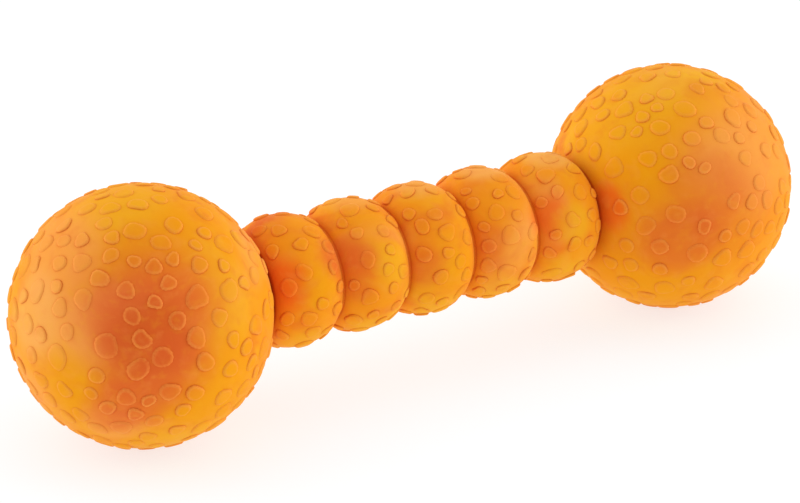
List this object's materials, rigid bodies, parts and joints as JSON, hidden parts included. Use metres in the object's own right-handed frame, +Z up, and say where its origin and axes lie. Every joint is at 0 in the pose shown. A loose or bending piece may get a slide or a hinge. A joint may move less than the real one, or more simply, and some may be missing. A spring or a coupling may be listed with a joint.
{
  "type": "dog throw toy",
  "caption": "Pebbled rubber dumbbell for throwing and fetching: two hollow balls joined by a bar of round beads that a dog bites.",
  "frame": {"origin": "on the floor, midway between the two balls, under the bar's axis", "axes": "+X along the bar, from the left ball to the right one as the picture shows them; +Z up"},
  "size_m": [0.2048, 0.0596, 0.0597],
  "materials": {
    "ball_rubber": "matte, pebbled, marbled amber and red-orange",
    "bar_rubber": "matte, pebbled, marbled orange and red-orange"
  },
  "bodies": {
    "root": {"left_ball_outer_half": "ball_rubber", "left_ball_inner_half": "ball_rubber", "grip_bar": "bar_rubber", "right_ball_inner_half": "ball_rubber", "right_ball_outer_half": "ball_rubber"}
  },
  "joints": []
}
